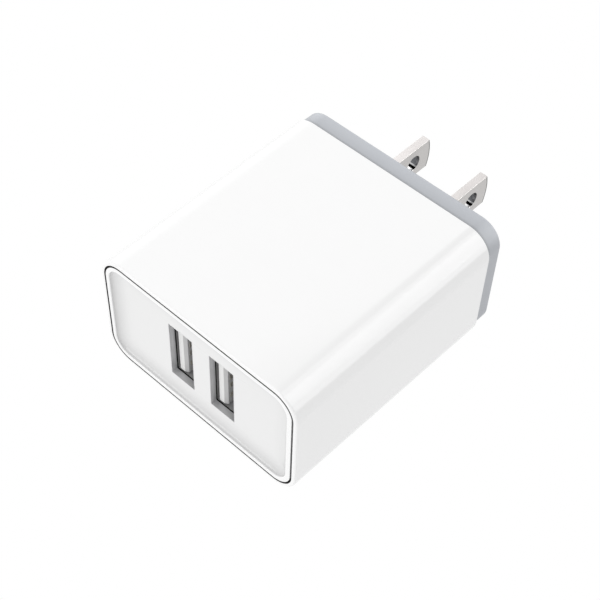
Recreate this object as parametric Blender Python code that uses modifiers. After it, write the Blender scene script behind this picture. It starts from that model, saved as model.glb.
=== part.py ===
"""Two-port USB wall charger with two flat plug blades, lying on its broad face.

Frame: X runs across the body, Y from the port face (-Y) to the blade tips (+Y), Z is up.
The origin is the centre of the bounding box, on the surface that the charger lies on.
Depths are measured back from the port face and heights from the middle of the body.
All sizes are in metres.
"""

from math import asin, copysign, cos, pi, radians, sin

import bmesh
import bpy
from mathutils import Matrix, Vector

# Body
BODY_WIDTH = 0.0411  # at the port face, like the height
BODY_HEIGHT = 0.0235
BODY_CORNER = 0.00464
DRAFT = 0.00035  # how much further out each side is at the sleeve's rear than at its front
SLEEVE_LENGTH = 0.0431
SIDE_WALL = 0.0016
EDGE_ROUND = 0.00045
GAP = 0.0003  # between pieces that touch
OVERLAP = 0.0005  # of the bodies that one piece is joined from

# Front panel, let into the sleeve
RIM_THICKNESS = 0.00076
PANEL_DEPTH = 0.00225
PANEL_RIM = 0.0010
DISH_DEPTH = 0.00105
DISH_COVE = 0.0025
SKIRT_LENGTH = 0.0016
SKIRT_WALL = 0.0010

# Rear cap
CAP_BAND = 0.0034
CAP_STEP = 0.00046
CAP_FACE = 0.0019
CAP_ROUND = 0.00025
SPIGOT_LENGTH = 0.0027
SPIGOT_WALL = 0.0012

# Plug blades: flat two-pole mains plug
BLADE_SPACING = 0.0127
BLADE_WIDTH = 0.0063
BLADE_THICKNESS = 0.0015
BLADE_REACH = 0.01588
BLADE_HOLE_RADIUS = 0.0016
BLADE_HOLE_FROM_TIP = 0.00438
BLADE_TIP_ARC = 0.0104
BLADE_MIDDLE = (-0.00036, -0.00038)  # across, up: the pair's middle against the body's
BLADE_TAIL = 0.0076  # behind the wall face
BLADE_CHAMFER = 0.0001
SLOT_REACH = 0.004  # how far the cutter of a blade's slot goes each way
RETAINER_SIZE = (0.0316, 0.0140)
RETAINER_DEPTHS = (0.0402, 0.0426)
RETAINER_CORNER = 0.0015
SPRING_THICKNESS = 0.0004
SPRING_FOOT = (0.0372, 0.0386)
SPRING_PAD = ((0.0378, 0.0012), (0.0398, 0.0012), (0.0398, -0.0018))  # depth, height
SPRING_KNEE = -0.0024

# USB-A receptacles, standing on edge on the board
PORT_PITCH = 0.00871
PORT_HEIGHT = -0.00072
PORT_OPENING = (0.00493, 0.0120)
PORT_BORE = (0.00512, 0.0125)
SHELL_WALL = 0.0003
SHELL_END = 0.0136
SHELL_CORNER = 0.0006
TAB_DEPTHS = (0.0062, 0.0118)
TAB_SIZE = (0.0020, 0.0004)
TONGUE_SIZE = (0.0017, 0.0111)
TONGUE_FRONT = 0.0023
TONGUE_OFFSET = 0.0007  # from the bore's left wall
TONGUE_BEVEL = 0.0005
BASE_FRONT = 0.0113
BASE_END = 0.0132
CONTACT_HEIGHTS = (-0.0035, -0.0010, 0.0010, 0.0035)
CONTACT_WIDTH = 0.0010
CONTACT_THICKNESS = 0.00025
CONTACT_FRONT = 0.0030
CONTACT_LEG = 0.0005
CONTACT_LEG_PITCH = 0.0009
CONTACT_LEG_FRONT = 0.0140

# Circuit board
BOARD_WIDTH = 0.0348
BOARD_FRONT = 0.0044
BOARD_END = 0.0396
BOARD_THICKNESS = 0.0016
BOARD_TOP = -0.0076
BOARD_CORNER = 0.0010
TAB_SLOT = (0.0026, 0.0010)
CONTACT_SLOT_WIDTH = 0.0009
SPRING_SLOT = (0.0010, 0.0020)
LEAD_RADIUS = 0.0003
LEAD_END = BOARD_TOP - BOARD_THICKNESS - 0.0005
SEAT = BOARD_TOP + GAP
BARRIER_DEPTH = 0.0178
BARRIER_THICKNESS = 0.0004
BARRIER_CORNER = 0.0020

# Transformer, winding axis across the body
CORE_LENGTH = 0.0146
CORE_WIDTH = 0.0160
CORE_THICKNESS = 0.0050
CORE_BACK = 0.0020
CORE_LEG = 0.0020
CORE_CENTRE_LEG = 0.0040
FLANGE_SPREAD = 0.0046
FLANGE_THICKNESS = 0.0007
FLANGE_SIZE = (0.0112, 0.0120)
FORMER_WALL = 0.0007
WINDING_LENGTH = 0.0082
WINDING_BUILD = {"primary_winding": 0.0007, "secondary_winding": 0.0006}
BAND_CORNERS = (0.0009, 0.0003)  # outside, inside
RAIL_SIZE = (0.0022, 0.0130, 0.0012)
RAIL_SPREAD = 0.0055
PIN_SPREAD = 0.0060
PIN_STEPS = (-0.0050, 0, 0.0050)
WEB_SIZE = (0.0009, 0.0100)
WEB_SPREAD = 0.0049
TRANSFORMER_PLACE = (-0.0054, 0.0275, 0.0005)

# Components on the board: the (across, depth) of their leads, then their sizes
COMPONENT_LEADS = {
    "bulk_capacitor_front": [(0.0074, 0.0205), (0.0074, 0.0240)],
    "bulk_capacitor_rear": [(0.0074, 0.0295), (0.0074, 0.0330)],
    "output_capacitor_left": [(-0.0143, 0.0095), (-0.0108, 0.0095)],
    "output_capacitor_right": [(0.0108, 0.0095), (0.0143, 0.0095)],
    "fusible_resistor": [(-0.0156, 0.0320), (-0.0156, 0.0350)],
    "line_inductor": [(-0.0156, 0.0210), (-0.0156, 0.0240)],
    "y_capacitor": [(0.0143, 0.0190), (0.0143, 0.0240)],
    "transformer_bobbin": [
        (TRANSFORMER_PLACE[0] + sign * PIN_SPREAD, TRANSFORMER_PLACE[1] + step)
        for sign in (-1, 1)
        for step in PIN_STEPS
    ],
}
CANS = {  # radius, height, finish
    "bulk_capacitor_front": (0.0040, 0.0130, "can_black"),
    "bulk_capacitor_rear": (0.0040, 0.0130, "can_black"),
    "output_capacitor_left": (0.0040, 0.0115, "can_green"),
    "output_capacitor_right": (0.0040, 0.0115, "can_green"),
}
CAN_EDGE = 0.0004
CAN_CRIMP = 0.0014
AXIALS = {"fusible_resistor": (0.0014, 0.0070), "line_inductor": (0.0015, 0.0080)}  # radius, length
AXIAL_LIFT = 0.0006
AXIAL_CREST = 0.0010
DISC_RADIUS = 0.0031
DISC_HALF = 0.0014
DISC_LIFT = 0.0012
DISC_ROUND = 0.0008
DISC_LEAD_TOP = 0.0008  # below the disc's middle
CHIPS = {  # size, spot, legs a side, leg pitch, leg width, whether the legs point across
    "bridge_rectifier": ((0.0047, 0.0062, 0.0024), (0.0143, 0.0352), 2, 0.0025, 0.0004, False),
    "controller_ic": ((0.0049, 0.0039, 0.0014), (0.0143, 0.0285), 4, 0.00127, 0.0004, False),
    "output_diode": ((0.0030, 0.0044, 0.0021), (-0.0125, 0.0154), 1, 0, 0.0020, True),
    "port_controller_ic": ((0.0029, 0.0016, 0.0010), (0.0125, 0.0154), 3, 0.00095, 0.0004, False),
}
CHIP_LIFT = 0.0002
CHIP_CORNER = 0.0002
CHIP_EDGE = 0.00015
LEG_REACH = 0.0010
LEG_THICKNESS = 0.0005

OVERALL_LENGTH = SLEEVE_LENGTH + CAP_BAND + BLADE_REACH
FRONT = -OVERALL_LENGTH / 2
MIDDLE = BODY_HEIGHT / 2 + DRAFT
WALL_FACE = SLEEVE_LENGTH + CAP_BAND
CAVITY = (BODY_WIDTH - 2 * SIDE_WALL, BODY_HEIGHT - 2 * SIDE_WALL)

FINISHES = {  # colour, roughness, metallic
    "white_gloss": ((0.88, 0.88, 0.88), 0.18, 0.0),
    "cap_grey": ((0.50, 0.53, 0.57), 0.45, 0.0),
    "nickel": ((0.70, 0.69, 0.67), 0.25, 1.0),
    "steel": ((0.55, 0.55, 0.56), 0.30, 1.0),
    "tongue_white": ((0.85, 0.85, 0.84), 0.40, 0.0),
    "gold": ((0.80, 0.62, 0.28), 0.30, 1.0),
    "board_green": ((0.05, 0.22, 0.10), 0.45, 0.0),
    "ferrite": ((0.06, 0.06, 0.065), 0.60, 0.0),
    "bobbin_black": ((0.03, 0.03, 0.03), 0.50, 0.0),
    "copper": ((0.72, 0.33, 0.16), 0.35, 1.0),
    "tape_yellow": ((0.85, 0.68, 0.12), 0.40, 0.0),
    "can_black": ((0.04, 0.04, 0.05), 0.35, 0.0),
    "can_green": ((0.03, 0.20, 0.16), 0.35, 0.0),
    "mould_black": ((0.03, 0.03, 0.03), 0.55, 0.0),
    "resistor_green": ((0.20, 0.36, 0.24), 0.55, 0.0),
    "disc_blue": ((0.06, 0.20, 0.52), 0.40, 0.0),
    "barrier_white": ((0.80, 0.80, 0.76), 0.60, 0.0),
}


def new_collection(name):
    collection = bpy.data.collections.new(name)
    bpy.context.scene.collection.children.link(collection)
    return collection


def clear_scene():
    for obj in list(bpy.data.objects):
        bpy.data.objects.remove(obj, do_unlink=True)


clear_scene()
PARTS = new_collection("usb_wall_charger")
CUTTERS = new_collection("cutters")


def material(finish):
    """The Principled material of this finish, made the first time that it is asked for."""
    found = bpy.data.materials.get(finish)
    if found:
        return found
    colour, roughness, metallic = FINISHES[finish]
    made = bpy.data.materials.new(finish)
    made.use_nodes = True
    shader = made.node_tree.nodes["Principled BSDF"]
    shader.inputs["Base Color"].default_value = (*colour, 1)
    shader.inputs["Roughness"].default_value = roughness
    shader.inputs["Metallic"].default_value = metallic
    return made


def place(across, depth, height):
    """A point from its distance right of the middle, back from the port face and up from mid-height."""
    return Vector((across, FRONT + depth, MIDDLE + height))


def add_object(name, mesh, finish=None, smooth=False):
    """A part where a finish is given, otherwise a helper that only cuts or joins."""
    obj = bpy.data.objects.new(name, mesh)
    if finish:
        PARTS.objects.link(obj)
        mesh.materials.clear()
        mesh.materials.append(material(finish))
    else:
        CUTTERS.objects.link(obj)
        obj.hide_render = True
        obj.display_type = "WIRE"
    if smooth:
        mesh.shade_smooth()
        mesh.set_sharp_from_angle(angle=radians(35))
    return obj


def mesh_from(name, bm):
    mesh = bpy.data.meshes.new(name)
    bmesh.ops.recalc_face_normals(bm, faces=bm.faces)
    bm.to_mesh(mesh)
    bm.free()
    return mesh


def bevel_along(bm, axis, radius, segments):
    """Rounds the four edges of a box that run along an axis."""
    edges = [e for e in bm.edges if abs((e.verts[0].co - e.verts[1].co).normalized()[axis]) > 0.99]
    bmesh.ops.bevel(bm, geom=edges, offset=radius, segments=segments, affect="EDGES", profile=0.5)


def bevel_end(bm, axis, side, radius, segments):
    """Rounds the outline of a box's end face: side is 1 for its high end, -1 for its low end."""
    end = max(side * v.co[axis] for v in bm.verts)
    on_end = {v for v in bm.verts if side * v.co[axis] > end - 1e-7}
    edges = [e for e in bm.edges if on_end.issuperset(e.verts)]
    bmesh.ops.bevel(bm, geom=edges, offset=radius, segments=segments, affect="EDGES", profile=0.5)


def spread_end(bm, amount):
    """Moves a box's sides outwards by up to amount from its front to its rear, as draft does."""
    depths = [v.co.y for v in bm.verts]
    front, rear = min(depths), max(depths)
    for vert in bm.verts:
        shift = amount * (vert.co.y - front) / (rear - front)
        vert.co.x += copysign(shift, vert.co.x)
        vert.co.z += copysign(shift, vert.co.z)


def block(
    name, size, centre, finish=None, axis="Y", corner=0, corner_steps=6, ends=(), squash=1, draft=0
):
    """A box, with the edges along an axis rounded, and then the ends in ends, as (side, radius, steps).

    squash shortens it along that axis afterwards, which makes a round end an elliptical one.
    """
    along = "XYZ".index(axis)
    bm = bmesh.new()
    bmesh.ops.create_cube(bm, size=1)
    bmesh.ops.scale(bm, vec=size, verts=bm.verts)
    if corner:
        bevel_along(bm, along, corner, corner_steps)
    for side, radius, steps in ends:
        bevel_end(bm, along, side, radius, steps)
    shrink = [1, 1, 1]
    shrink[along] = squash
    bmesh.ops.scale(bm, vec=shrink, verts=bm.verts)
    if draft:
        spread_end(bm, draft)
    bmesh.ops.translate(bm, vec=centre, verts=bm.verts)
    return add_object(name, mesh_from(name, bm), finish, smooth=bool(corner))


def rod(name, radius, start, end, axis, finish=None, segments=16):
    """A cylinder between two points that lie along one axis."""
    turn = {"X": Matrix.Rotation(pi / 2, 4, "Y"), "Y": Matrix.Rotation(-pi / 2, 4, "X")}
    length = (end - start).length
    bm = bmesh.new()
    bmesh.ops.create_cone(
        bm, cap_ends=True, segments=segments, radius1=radius, radius2=radius, depth=length
    )
    bmesh.ops.transform(bm, matrix=turn.get(axis, Matrix()), verts=bm.verts)
    bmesh.ops.translate(bm, vec=(start + end) / 2, verts=bm.verts)
    return add_object(name, mesh_from(name, bm), finish, smooth=True)


def turned(name, profile, base, finish=None, steps=20):
    """A profile of (radius, height) pairs, from the top down its outer side, turned about the vertical."""
    mesh = bpy.data.meshes.new(name)
    points = [(radius, 0, height) for radius, height in profile]
    mesh.from_pydata(points, [(i, i + 1) for i in range(len(points) - 1)], [])
    obj = add_object(name, mesh, finish)
    obj.location = base
    screw = obj.modifiers.new("turn", "SCREW")
    screw.steps = steps
    screw.render_steps = steps
    screw.use_merge_vertices = True
    screw.merge_threshold = 0.00001
    screw.use_smooth_shade = True
    return obj


def from_curve(name, data, matrix, finish, smooth):
    """The solid of a curve as a mesh object, with its caps welded on."""
    curve = bpy.data.objects.new(name + "_curve", data)
    CUTTERS.objects.link(curve)
    curve.matrix_world = matrix
    bpy.context.view_layer.update()
    graph = bpy.context.evaluated_depsgraph_get()
    mesh = bpy.data.meshes.new_from_object(curve.evaluated_get(graph))
    bpy.data.objects.remove(curve)
    bm = bmesh.new()
    bm.from_mesh(mesh)
    bmesh.ops.remove_doubles(bm, verts=bm.verts, dist=0.000001)
    bmesh.ops.transform(bm, matrix=matrix, verts=bm.verts)
    bm.to_mesh(mesh)
    bm.free()
    return add_object(name, mesh, finish, smooth)


def plate(name, outlines, thickness, centre, finish=None, plane="YZ"):
    """A flat sheet cut to closed outlines, the first the outer one; outlines are in the named plane."""
    turn = Matrix(((0, 0, 1), (1, 0, 0), (0, 1, 0))).to_4x4() if plane == "YZ" else Matrix()
    data = bpy.data.curves.new(name, "CURVE")
    data.dimensions = "2D"
    data.fill_mode = "BOTH"
    data.extrude = thickness / 2
    for outline in outlines:
        spline = data.splines.new("POLY")
        spline.points.add(len(outline) - 1)
        for point, (across, up) in zip(spline.points, outline):
            point.co = (across, up, 0, 1)
        spline.use_cyclic_u = True
    return from_curve(name, data, Matrix.Translation(centre) @ turn, finish, smooth=False)


def wire(name, points, radius, finish=None):
    """A round lead through the given points."""
    data = bpy.data.curves.new(name, "CURVE")
    data.dimensions = "3D"
    data.bevel_depth = radius
    data.bevel_resolution = 1
    data.use_fill_caps = True
    spline = data.splines.new("POLY")
    spline.points.add(len(points) - 1)
    for point, position in zip(spline.points, points):
        point.co = (*position, 1)
    return from_curve(name, data, Matrix(), finish, smooth=True)


def combine(target, others, operation):
    """Cuts others from target, or joins them to it. They become helpers."""
    for other in others:
        modifier = target.modifiers.new(other.name, "BOOLEAN")
        modifier.operation = operation
        modifier.solver = "EXACT"
        modifier.object = other
    return target


def cut(target, *others):
    return combine(target, others, "DIFFERENCE")


def join(target, *others):
    return combine(target, others, "UNION")


def arc(centre, radius, start, end, steps):
    """Points along an arc, in degrees, both ends included."""
    angles = [radians(start + (end - start) * i / steps) for i in range(steps + 1)]
    return [(centre[0] + radius * cos(a), centre[1] + radius * sin(a)) for a in angles]


def span(width, low, high, height):
    """The size of a box from its width, the depths of its two ends and its height."""
    return (width, high - low, height)


def port_centres():
    return {"left": -PORT_PITCH / 2, "right": PORT_PITCH / 2}


def blade_centres():
    middle = BLADE_MIDDLE[0]
    return {"left": middle - BLADE_SPACING / 2, "right": middle + BLADE_SPACING / 2}


def build_sleeve():
    """The outer tube, a little wider at the rear, with a stepped mouth that the panel drops into."""
    sleeve = block(
        "housing_sleeve",
        span(BODY_WIDTH, 0, SLEEVE_LENGTH, BODY_HEIGHT),
        place(0, SLEEVE_LENGTH / 2, 0),
        "white_gloss",
        corner=BODY_CORNER,
        corner_steps=8,
        ends=((-1, EDGE_ROUND, 2), (1, EDGE_ROUND, 2)),
        draft=DRAFT,
    )
    cavity = block(
        "sleeve_cavity",
        span(CAVITY[0], 0, 2 * SLEEVE_LENGTH, CAVITY[1]),
        place(0, SLEEVE_LENGTH, 0),
        corner=BODY_CORNER - SIDE_WALL,
    )
    mouth_depth = PANEL_DEPTH + GAP
    mouth = block(
        "sleeve_mouth",
        span(BODY_WIDTH - 2 * RIM_THICKNESS, -mouth_depth, mouth_depth, BODY_HEIGHT - 2 * RIM_THICKNESS),
        place(0, 0, 0),
        corner=BODY_CORNER - RIM_THICKNESS,
        corner_steps=8,
    )
    cut(sleeve, cavity, mouth)


def build_front_panel():
    """A slab with a raised rim round a shallow dish, two openings, and a skirt behind it."""
    inset = RIM_THICKNESS + GAP
    width = BODY_WIDTH - 2 * inset
    height = BODY_HEIGHT - 2 * inset
    corner = BODY_CORNER - inset
    panel = block(
        "front_panel",
        span(width, 0, PANEL_DEPTH, height),
        place(0, PANEL_DEPTH / 2, 0),
        "white_gloss",
        corner=corner,
        corner_steps=8,
        ends=((-1, EDGE_ROUND / 2, 2),),
    )
    dish_flat = DISH_DEPTH / DISH_COVE
    dish = block(
        "panel_dish",
        span(width - 2 * PANEL_RIM, 0, 4 * DISH_COVE, height - 2 * PANEL_RIM),
        place(0, DISH_DEPTH - 2 * DISH_COVE * dish_flat, 0),
        corner=DISH_COVE * 1.02,
        corner_steps=6,
        ends=((1, DISH_COVE, 5),),
        squash=dish_flat,
    )
    skirt_size = (CAVITY[0] - 2 * GAP, CAVITY[1] - 2 * GAP)
    skirt_front = PANEL_DEPTH - OVERLAP
    skirt_end = PANEL_DEPTH + SKIRT_LENGTH
    skirt = block(
        "panel_skirt",
        span(skirt_size[0], skirt_front, skirt_end, skirt_size[1]),
        place(0, (skirt_front + skirt_end) / 2, 0),
        corner=BODY_CORNER - SIDE_WALL - GAP,
    )
    skirt_hollow = block(
        "panel_skirt_hollow",
        span(skirt_size[0] - 2 * SKIRT_WALL, PANEL_DEPTH, 2 * skirt_end, skirt_size[1] - 2 * SKIRT_WALL),
        place(0, PANEL_DEPTH / 2 + skirt_end, 0),
        corner=BODY_CORNER - SIDE_WALL - GAP - SKIRT_WALL,
    )
    openings = [
        block(
            f"panel_opening_{side}",
            span(PORT_OPENING[0], -PANEL_DEPTH, 2 * PANEL_DEPTH, PORT_OPENING[1]),
            place(centre, PANEL_DEPTH / 2, PORT_HEIGHT),
        )
        for side, centre in port_centres().items()
    ]
    join(panel, skirt)
    cut(panel, skirt_hollow, dish, *openings)


def build_rear_cap():
    """A cap set in from the sleeve, with a spigot that goes inside it and two slots for the blades."""
    band_front = SLEEVE_LENGTH + GAP
    growth = 2 * (DRAFT - CAP_STEP)
    cap = block(
        "rear_cap",
        span(BODY_WIDTH + growth, band_front, WALL_FACE, BODY_HEIGHT + growth),
        place(0, (band_front + WALL_FACE) / 2, 0),
        "cap_grey",
        corner=BODY_CORNER - CAP_STEP,
        corner_steps=8,
        ends=((1, CAP_ROUND, 2),),
    )
    spigot_size = (CAVITY[0] - 2 * GAP, CAVITY[1] - 2 * GAP)
    spigot_front = SLEEVE_LENGTH - SPIGOT_LENGTH
    spigot_end = band_front + OVERLAP
    spigot = block(
        "cap_spigot",
        span(spigot_size[0], spigot_front, spigot_end, spigot_size[1]),
        place(0, (spigot_front + spigot_end) / 2, 0),
        corner=BODY_CORNER - SIDE_WALL - GAP,
    )
    hollow_end = WALL_FACE - CAP_FACE
    hollow_front = spigot_front - OVERLAP
    hollow = block(
        "cap_hollow",
        span(spigot_size[0] - 2 * SPIGOT_WALL, hollow_front, hollow_end, spigot_size[1] - 2 * SPIGOT_WALL),
        place(0, (hollow_front + hollow_end) / 2, 0),
        corner=BODY_CORNER - SIDE_WALL - GAP - SPIGOT_WALL,
    )
    slots = [blade_slot(f"cap_slot_{side}", centre, WALL_FACE) for side, centre in blade_centres().items()]
    join(cap, spigot)
    cut(cap, hollow, *slots)


def blade_slot(name, centre, depth):
    """A cutter for the slot that a blade passes through, with clearance all round."""
    size = span(
        BLADE_THICKNESS + 2 * GAP, depth - SLOT_REACH, depth + SLOT_REACH, BLADE_WIDTH + 2 * GAP
    )
    return block(name, size, place(centre, depth, BLADE_MIDDLE[1]))


def build_blades():
    """Flat blades with a shallow arc at the tip and a round hole near it."""
    half = BLADE_WIDTH / 2
    tip = WALL_FACE + BLADE_REACH
    swing = asin(half / BLADE_TIP_ARC) * 180 / pi
    tail = WALL_FACE - BLADE_TAIL
    for side, centre in blade_centres().items():
        outline = arc((tip - BLADE_TIP_ARC, 0), BLADE_TIP_ARC, -swing, swing, 8)
        outline += [(tail, half), (tail, -half)]
        blade = plate(
            f"plug_blade_{side}",
            [outline],
            BLADE_THICKNESS,
            place(centre, 0, BLADE_MIDDLE[1]),
            "nickel",
        )
        chamfer = blade.modifiers.new("chamfer", "BEVEL")
        chamfer.width = BLADE_CHAMFER
        chamfer.segments = 1
        chamfer.limit_method = "ANGLE"
        chamfer.angle_limit = radians(60)
        hole_depth = tip - BLADE_HOLE_FROM_TIP
        reach = 2 * BLADE_THICKNESS
        hole = rod(
            f"blade_hole_{side}",
            BLADE_HOLE_RADIUS,
            place(centre - reach, hole_depth, BLADE_MIDDLE[1]),
            place(centre + reach, hole_depth, BLADE_MIDDLE[1]),
            "X",
            segments=24,
        )
        cut(blade, hole)


def build_blade_retainer():
    """The plate inside the cap that the blades' roots pass through."""
    middle = sum(RETAINER_DEPTHS) / 2
    retainer = block(
        "blade_retainer",
        span(RETAINER_SIZE[0], *RETAINER_DEPTHS, RETAINER_SIZE[1]),
        place(0, middle, 0),
        "mould_black",
        corner=RETAINER_CORNER,
        corner_steps=3,
    )
    slots = [blade_slot(f"retainer_slot_{side}", at, middle) for side, at in blade_centres().items()]
    cut(retainer, *slots)


def build_contact_springs():
    """Flat strips that rest beside the blades' tails and go down into the board."""
    front, rear = SPRING_FOOT
    outline = [(front, SPRING_KNEE), (front, LEAD_END), (rear, LEAD_END), (rear, SPRING_KNEE)]
    outline += reversed(SPRING_PAD)
    for side, centre in blade_centres().items():
        name = f"contact_spring_{side}"
        plate(name, [outline], SPRING_THICKNESS, place(spring_place(centre), 0, 0), "nickel")


def spring_place(blade_centre):
    """How far across a contact spring's middle is, to the right of its blade."""
    return blade_centre + BLADE_THICKNESS / 2 + GAP + SPRING_THICKNESS / 2


def build_receptacle(side, centre):
    """One USB-A receptacle: shell, tongue and four contacts."""
    build_shell(side, centre)
    build_tongue(side, centre)
    build_contacts(side, centre)


def build_shell(side, centre):
    """A square tube of sheet metal with two tabs that go into the board."""
    front = PANEL_DEPTH + GAP
    outer = (PORT_BORE[0] + 2 * SHELL_WALL, PORT_BORE[1] + 2 * SHELL_WALL)
    middle = place(centre, (front + SHELL_END) / 2, PORT_HEIGHT)
    shell = block(
        f"usb_shell_{side}",
        span(outer[0], front, SHELL_END, outer[1]),
        middle,
        "steel",
        corner=SHELL_CORNER,
        corner_steps=2,
    )
    bore = block(
        f"shell_bore_{side}",
        span(PORT_BORE[0], 0, 2 * SHELL_END, PORT_BORE[1]),
        middle,
        corner=SHELL_CORNER - SHELL_WALL,
        corner_steps=2,
    )
    tab_top = PORT_HEIGHT - PORT_BORE[1] / 2 - SHELL_WALL / 2
    for tab_number, tab_depth in enumerate(TAB_DEPTHS):
        tab = block(
            f"shell_tab_{side}_{tab_number}",
            (*TAB_SIZE, tab_top - LEAD_END),
            place(centre, tab_depth, (tab_top + LEAD_END) / 2),
        )
        join(shell, tab)
    cut(shell, bore)


def tongue_left(centre):
    return centre - PORT_BORE[0] / 2 + TONGUE_OFFSET


def build_tongue(side, centre):
    """The moulded tongue on its base, with a groove for each contact along its right face."""
    left = tongue_left(centre)
    width, height = TONGUE_SIZE
    right = left + width
    base_half = PORT_BORE[0] / 2 - GAP
    outline = [
        (left, FRONT + TONGUE_FRONT),
        (right - TONGUE_BEVEL, FRONT + TONGUE_FRONT),
        (right, FRONT + TONGUE_FRONT + TONGUE_BEVEL),
        (right, FRONT + BASE_FRONT + OVERLAP),
        (left, FRONT + BASE_FRONT + OVERLAP),
    ]
    tongue = plate(
        f"usb_tongue_{side}",
        [outline],
        height,
        (0, 0, MIDDLE + PORT_HEIGHT),
        "tongue_white",
        plane="XY",
    )
    base = block(
        f"tongue_base_{side}",
        span(2 * base_half, BASE_FRONT, BASE_END, PORT_BORE[1] - 2 * GAP),
        place(centre, (BASE_FRONT + BASE_END) / 2, PORT_HEIGHT),
    )
    join(tongue, base)
    groove = CONTACT_THICKNESS + GAP
    for number, height_of in enumerate(CONTACT_HEIGHTS, 1):
        cutter = block(
            f"contact_groove_{side}_{number}",
            span(2 * groove, CONTACT_FRONT - GAP, 2 * BASE_END, CONTACT_WIDTH + 2 * GAP),
            place(right, CONTACT_FRONT - GAP + BASE_END - CONTACT_FRONT / 2, PORT_HEIGHT + height_of),
        )
        cut(tongue, cutter)


def build_contacts(side, centre):
    """Flat contacts that run back along the tongue and step down into the board one behind another."""
    face = tongue_left(centre) + TONGUE_SIZE[0]
    across = face - CONTACT_THICKNESS / 2
    half = CONTACT_WIDTH / 2
    for number, height in enumerate(CONTACT_HEIGHTS, 1):
        leg = contact_leg_depth(number)
        level = PORT_HEIGHT + height
        outline = [
            (CONTACT_FRONT, level - half),
            (leg, level - half),
            (leg, LEAD_END),
            (leg + CONTACT_LEG, LEAD_END),
            (leg + CONTACT_LEG, level + half),
            (CONTACT_FRONT, level + half),
        ]
        plate(
            f"usb_contact_{side}_{number}",
            [outline],
            CONTACT_THICKNESS,
            place(across, 0, 0),
            "gold",
        )


def contact_leg_depth(number):
    return CONTACT_LEG_FRONT + (number - 1) * CONTACT_LEG_PITCH


def drop_lead(name, spot, top):
    """A straight lead from a component down through the board."""
    start = place(*spot, LEAD_END)
    return rod(name, LEAD_RADIUS, start, place(*spot, top), "Z", segments=8)


def build_board():
    """The board, with a clearance hole for every lead, tab and strip that passes through it."""
    board = block(
        "main_board",
        span(BOARD_WIDTH, BOARD_FRONT, BOARD_END, BOARD_THICKNESS),
        place(0, (BOARD_FRONT + BOARD_END) / 2, BOARD_TOP - BOARD_THICKNESS / 2),
        "board_green",
        axis="Z",
        corner=BOARD_CORNER,
        corner_steps=3,
    )
    low = BOARD_TOP - BOARD_THICKNESS - OVERLAP
    high = BOARD_TOP + OVERLAP
    spots = [spot for leads in COMPONENT_LEADS.values() for spot in leads]
    for number, spot in enumerate(spots):
        hole = rod(f"lead_hole_{number}", LEAD_RADIUS + GAP, place(*spot, low), place(*spot, high), "Z")
        cut(board, hole)
    slots = []
    for side, centre in port_centres().items():
        slots += [(centre, depth, *TAB_SLOT) for depth in TAB_DEPTHS]
        across = tongue_left(centre) + TONGUE_SIZE[0] - CONTACT_THICKNESS / 2
        first = contact_leg_depth(1)
        last = contact_leg_depth(len(CONTACT_HEIGHTS)) + CONTACT_LEG
        slots.append((across, (first + last) / 2, CONTACT_SLOT_WIDTH, last - first + 2 * GAP))
    for centre in blade_centres().values():
        slots.append((spring_place(centre), sum(SPRING_FOOT) / 2, *SPRING_SLOT))
    for number, (across, depth, width, length) in enumerate(slots):
        slot = block(
            f"board_slot_{number}",
            (width, length, high - low),
            place(across, depth, (low + high) / 2),
        )
        cut(board, slot)


def build_transformer():
    """Two E cores round a bobbin that carries two windings, held by a band of tape."""
    across, depth, height = TRANSFORMER_PLACE
    centre = place(across, depth, height)
    build_cores(centre)
    bore = (CORE_CENTRE_LEG + 2 * GAP, CORE_THICKNESS + 2 * GAP)
    former = (bore[0] + 2 * FORMER_WALL, bore[1] + 2 * FORMER_WALL)
    build_bobbin(centre, bore, former)
    inner = former
    for (name, build_up), finish in zip(WINDING_BUILD.items(), ("copper", "tape_yellow")):
        hole = (inner[0] + 2 * GAP, inner[1] + 2 * GAP)
        inner = (hole[0] + 2 * build_up, hole[1] + 2 * build_up)
        ring(name, WINDING_LENGTH, inner, hole, centre, "X", finish)
    outer = (CORE_LENGTH + 6 * GAP, CORE_WIDTH + 6 * GAP)
    hole = (CORE_LENGTH + 3 * GAP, CORE_WIDTH + 2 * GAP)
    ring("core_tape", CORE_THICKNESS - GAP, outer, hole, centre, "Z", "tape_yellow")


def ring(name, length, outer, hole, centre, axis, finish):
    """A rectangular band with rounded corners round an axis."""

    def sized(pair, depth):
        return (depth, *pair) if axis == "X" else (*pair, depth)

    outside, inside = BAND_CORNERS
    size = sized(outer, length)
    band = block(name, size, centre, finish, axis=axis, corner=outside, corner_steps=3)
    size = sized(hole, 2 * length)
    core = block(f"{name}_hole", size, centre, axis=axis, corner=inside, corner_steps=1)
    cut(band, core)


def build_cores(centre):
    """The E cores meet at the middle of the bobbin, their legs level."""
    half_width = CORE_WIDTH / 2
    half_centre = CORE_CENTRE_LEG / 2
    near = GAP / 2
    back = CORE_LENGTH / 2 - CORE_BACK
    far = CORE_LENGTH / 2
    outline = [
        (near, half_width),
        (far, half_width),
        (far, -half_width),
        (near, -half_width),
        (near, -half_width + CORE_LEG),
        (back, -half_width + CORE_LEG),
        (back, -half_centre),
        (near, -half_centre),
        (near, half_centre),
        (back, half_centre),
        (back, half_width - CORE_LEG),
        (near, half_width - CORE_LEG),
    ]
    for side, sign in (("left", -1), ("right", 1)):
        shape = [(sign * u, v) for u, v in outline]
        name = f"transformer_core_{side}"
        plate(name, [shape], CORE_THICKNESS, centre, "ferrite", plane="XY")


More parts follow.
